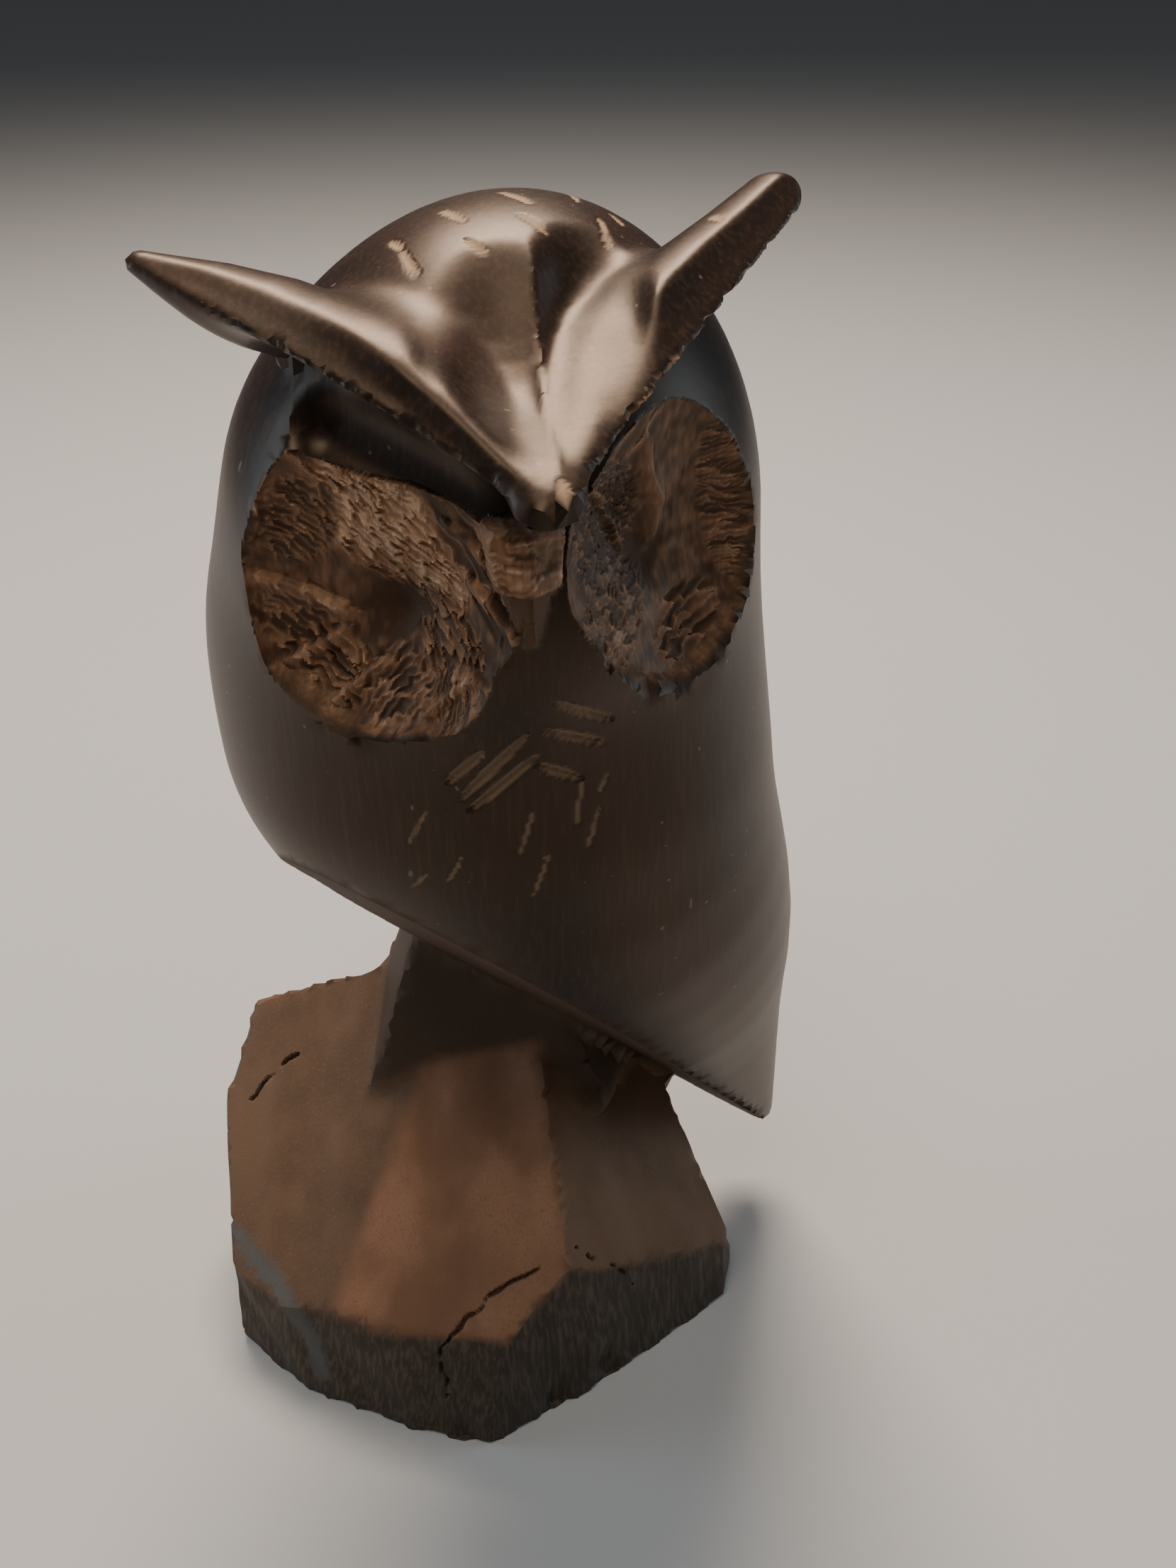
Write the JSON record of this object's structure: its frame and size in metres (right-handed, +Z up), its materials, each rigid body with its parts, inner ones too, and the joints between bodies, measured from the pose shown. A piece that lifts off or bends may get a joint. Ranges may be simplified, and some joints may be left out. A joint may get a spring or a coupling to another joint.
{
  "type": "carved wooden owl figurine",
  "caption": "Carved dark ironwood owl with ear tufts and rough-cut eye discs, perched side-on with its tail low on a rough sawn block of the same wood; a shelf ornament.",
  "frame": {"origin": "centre of the flat underside of the block, on the plane it stands on", "axes": "+Z up; -Y is the side that the face is turned to; +X is the side of the tail, to the right of a viewer who looks at the face"},
  "size_m": [0.1013, 0.0806, 0.1897],
  "materials": {
    "ironwood": "polished owl, raw sawn block"
  },
  "bodies": {
    "root": {"ironwood_owl": "ironwood"}
  },
  "joints": []
}
